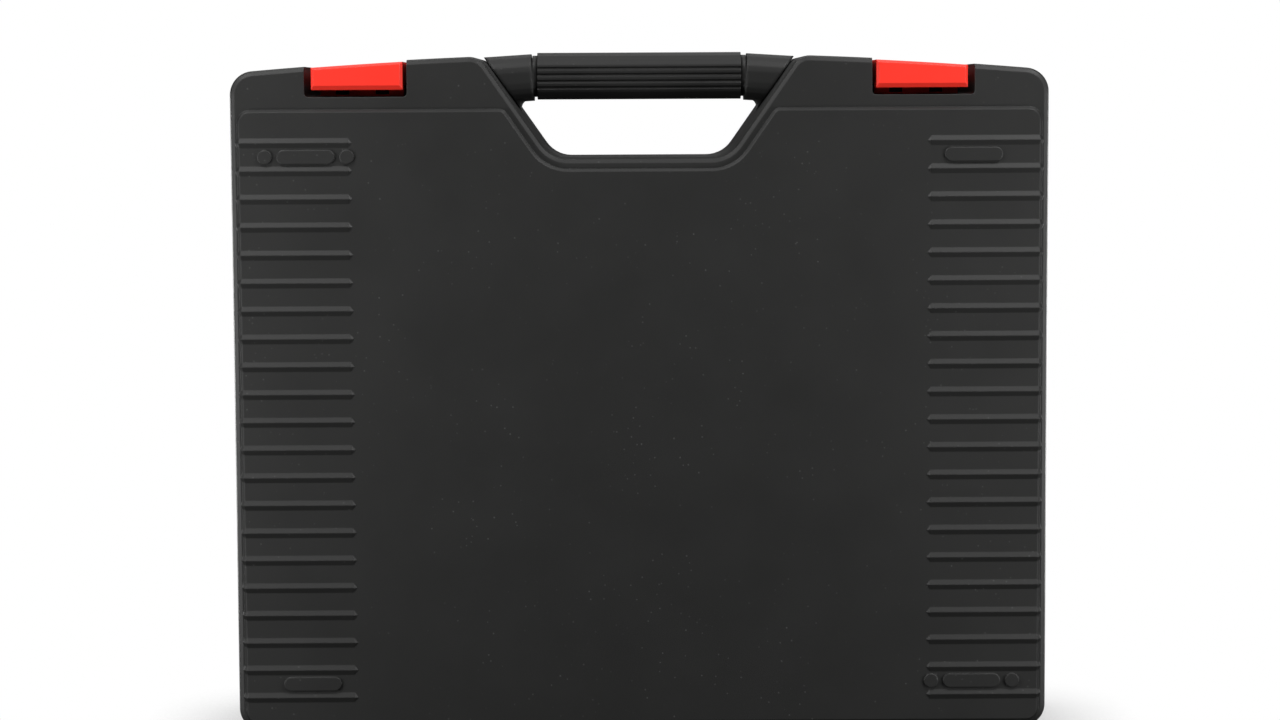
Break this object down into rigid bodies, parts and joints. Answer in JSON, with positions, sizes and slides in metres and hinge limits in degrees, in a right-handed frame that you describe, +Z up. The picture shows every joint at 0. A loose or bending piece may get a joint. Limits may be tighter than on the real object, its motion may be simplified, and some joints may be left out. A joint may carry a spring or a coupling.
{
  "type": "hard transport case",
  "caption": "Hard plastic transport case with ribbed halves, red snap latches, a rigid top handle and a foam lining, standing upright on its hinge side.",
  "frame": {"origin": "on the floor below the middle of the seam, midway between the left and right sides, so the closed case stands on z = 0", "axes": "+X along the width to the viewer's right when the lid is seen, +Y from the lid through the seam to the base, +Z up from the hinge side to the handle"},
  "size_m": [0.406, 0.1104, 0.347],
  "materials": {
    "black_plastic": "fine-grained moulded black plastic with a soft sheen",
    "grip_plastic": "smooth moulded black plastic",
    "red_plastic": "bright red moulded plastic, satin gloss",
    "steel": "plain drawn steel",
    "foam": "dark grey open-cell foam"
  },
  "bodies": {
    "base": {"base_shell": "black_plastic", "hinge_pin_left": "steel", "hinge_pin_right": "steel", "latch_pin_left": "steel", "latch_pin_right": "steel", "handle_core": "black_plastic", "grip_front": "grip_plastic", "grip_rear": "grip_plastic", "handle_screw_left_upper": "steel", "handle_screw_left_lower": "steel", "handle_screw_right_upper": "steel", "handle_screw_right_lower": "steel", "grip_screw_left": "steel", "grip_screw_right": "steel", "foam_frame": "foam", "foam_pad": "foam"},
    "lid": {"lid_shell": "black_plastic", "lid_foam": "foam"},
    "latch_left": {"latch_left": "red_plastic"},
    "latch_right": {"latch_right": "red_plastic"}
  },
  "joints": [
    {"name": "lid_hinge", "type": "hinge", "parent": "base", "child": "lid", "pos_m": [0, 0, 0.0035], "axis": [1, 0, 0], "range_deg": [0, 180]},
    {"name": "latch_left_pivot", "type": "hinge", "parent": "base", "child": "latch_left", "pos_m": [-0.1398, 0.03, 0.3349], "axis": [-1, 0, 0], "range_deg": [0, 100]},
    {"name": "latch_right_pivot", "type": "hinge", "parent": "base", "child": "latch_right", "pos_m": [0.1398, 0.03, 0.3349], "axis": [-1, 0, 0], "range_deg": [0, 100]}
  ]
}
